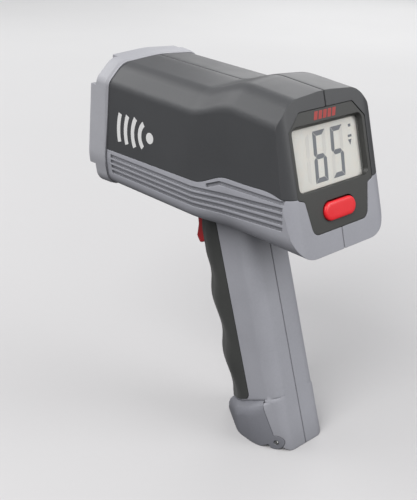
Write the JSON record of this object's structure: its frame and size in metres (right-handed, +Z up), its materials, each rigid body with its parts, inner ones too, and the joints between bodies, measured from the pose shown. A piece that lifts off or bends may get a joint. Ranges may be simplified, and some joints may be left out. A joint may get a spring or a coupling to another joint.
{
  "type": "speed radar gun",
  "caption": "Hand-held speed radar gun: boxed antenna head with rear display and power button, raked pistol handle with trigger, rubber grip and hinged battery door in a flared flat foot.",
  "frame": {"origin": "middle of the handle's flat foot, on the plane where the two housings meet", "axes": "+Z up, +Y towards the target, +X to the right of the person who holds it"},
  "size_m": [0.0832, 0.1692, 0.2125],
  "materials": {
    "housing_grey": "fine satin moulded texture",
    "bezel_grey": "fine satin moulded texture",
    "shell_charcoal": "fine satin moulded texture",
    "display_black": "satin",
    "radome_black": "satin",
    "grip_rubber": "matte, soft touch",
    "gasket_rubber": "matte",
    "window_clear": "clear",
    "lcd_glass": "reflective liquid crystal panel",
    "frame_plastic": "satin",
    "button_red": "gloss",
    "trigger_red": "gloss",
    "switch_black": "satin",
    "circuit_board": "solder mask",
    "chip_black": "satin",
    "can_aluminium": "satin",
    "horn_aluminium": "die cast",
    "cell_can": "printed jacket",
    "contact_brass": "nickel plated",
    "screw_steel": "black zinc"
  },
  "bodies": {
    "gun": {"battery_lower": "cell_can", "battery_top_contact": "contact_brass", "battery_tube": "frame_plastic", "battery_upper": "cell_can", "display_bezel": "display_black", "display_board": "circuit_board", "display_board_screws": "screw_steel", "display_driver_chips": "chip_black", "display_window": "window_clear", "door_hinge_pins": "screw_steel", "front_bezel": "bezel_grey", "grip": "grip_rubber", "horn_antenna": "horn_aluminium", "horn_screws": "screw_steel", "housing_screws": "screw_steel", "lcd_frame": "frame_plastic", "lcd_panel": "lcd_glass", "left_housing": "housing_grey", "left_upper_shell": "shell_charcoal", "main_board": "circuit_board", "main_board_capacitors": "can_aluminium", "main_board_chips": "chip_black", "main_board_screws": "screw_steel", "mixer_diode_cap": "contact_brass", "power_switch": "switch_black", "radome": "radome_black", "radome_gasket": "gasket_rubber", "right_housing": "housing_grey", "right_upper_shell": "shell_charcoal", "trigger_pin": "screw_steel", "trigger_spring": "screw_steel", "trigger_switch": "switch_black", "tuning_screw": "contact_brass", "waveguide_block": "horn_aluminium", "zebra_connectors": "gasket_rubber"},
    "trigger": {"trigger": "trigger_red"},
    "switch_plunger": {"trigger_switch_plunger": "switch_black"},
    "power_button": {"power_button": "button_red", "power_switch_plunger": "switch_black"},
    "battery_door": {"battery_door": "housing_grey", "battery_spring_contact": "contact_brass"}
  },
  "joints": [
    {"name": "trigger_pull", "type": "hinge", "parent": "gun", "child": "trigger", "pos_m": [0, 0.0494, 0.1242], "axis": [-1, 0, 0], "range_deg": [0, 8], "stiffness_Nm_per_rad": 0.25, "springref_deg": -8.59},
    {"name": "trigger_switch_press", "type": "slide", "parent": "gun", "child": "switch_plunger", "axis": [0, -1, 0], "range_m": [0, 0.00152]},
    {"name": "power_press", "type": "slide", "parent": "gun", "child": "power_button", "axis": [0, 0.9598, -0.2807], "range_m": [0, 0.001], "stiffness_N_per_m": 1500, "springref_m": -0.0006},
    {"name": "battery_door_swing", "type": "hinge", "parent": "gun", "child": "battery_door", "pos_m": [0, -0.0217, 0.0042], "axis": [-1, 0, 0], "range_deg": [0, 120]}
  ],
  "couplings": [
    {"joint": "trigger_switch_press", "follows": "trigger_pull", "m_per_rad": 0.0108}
  ]
}
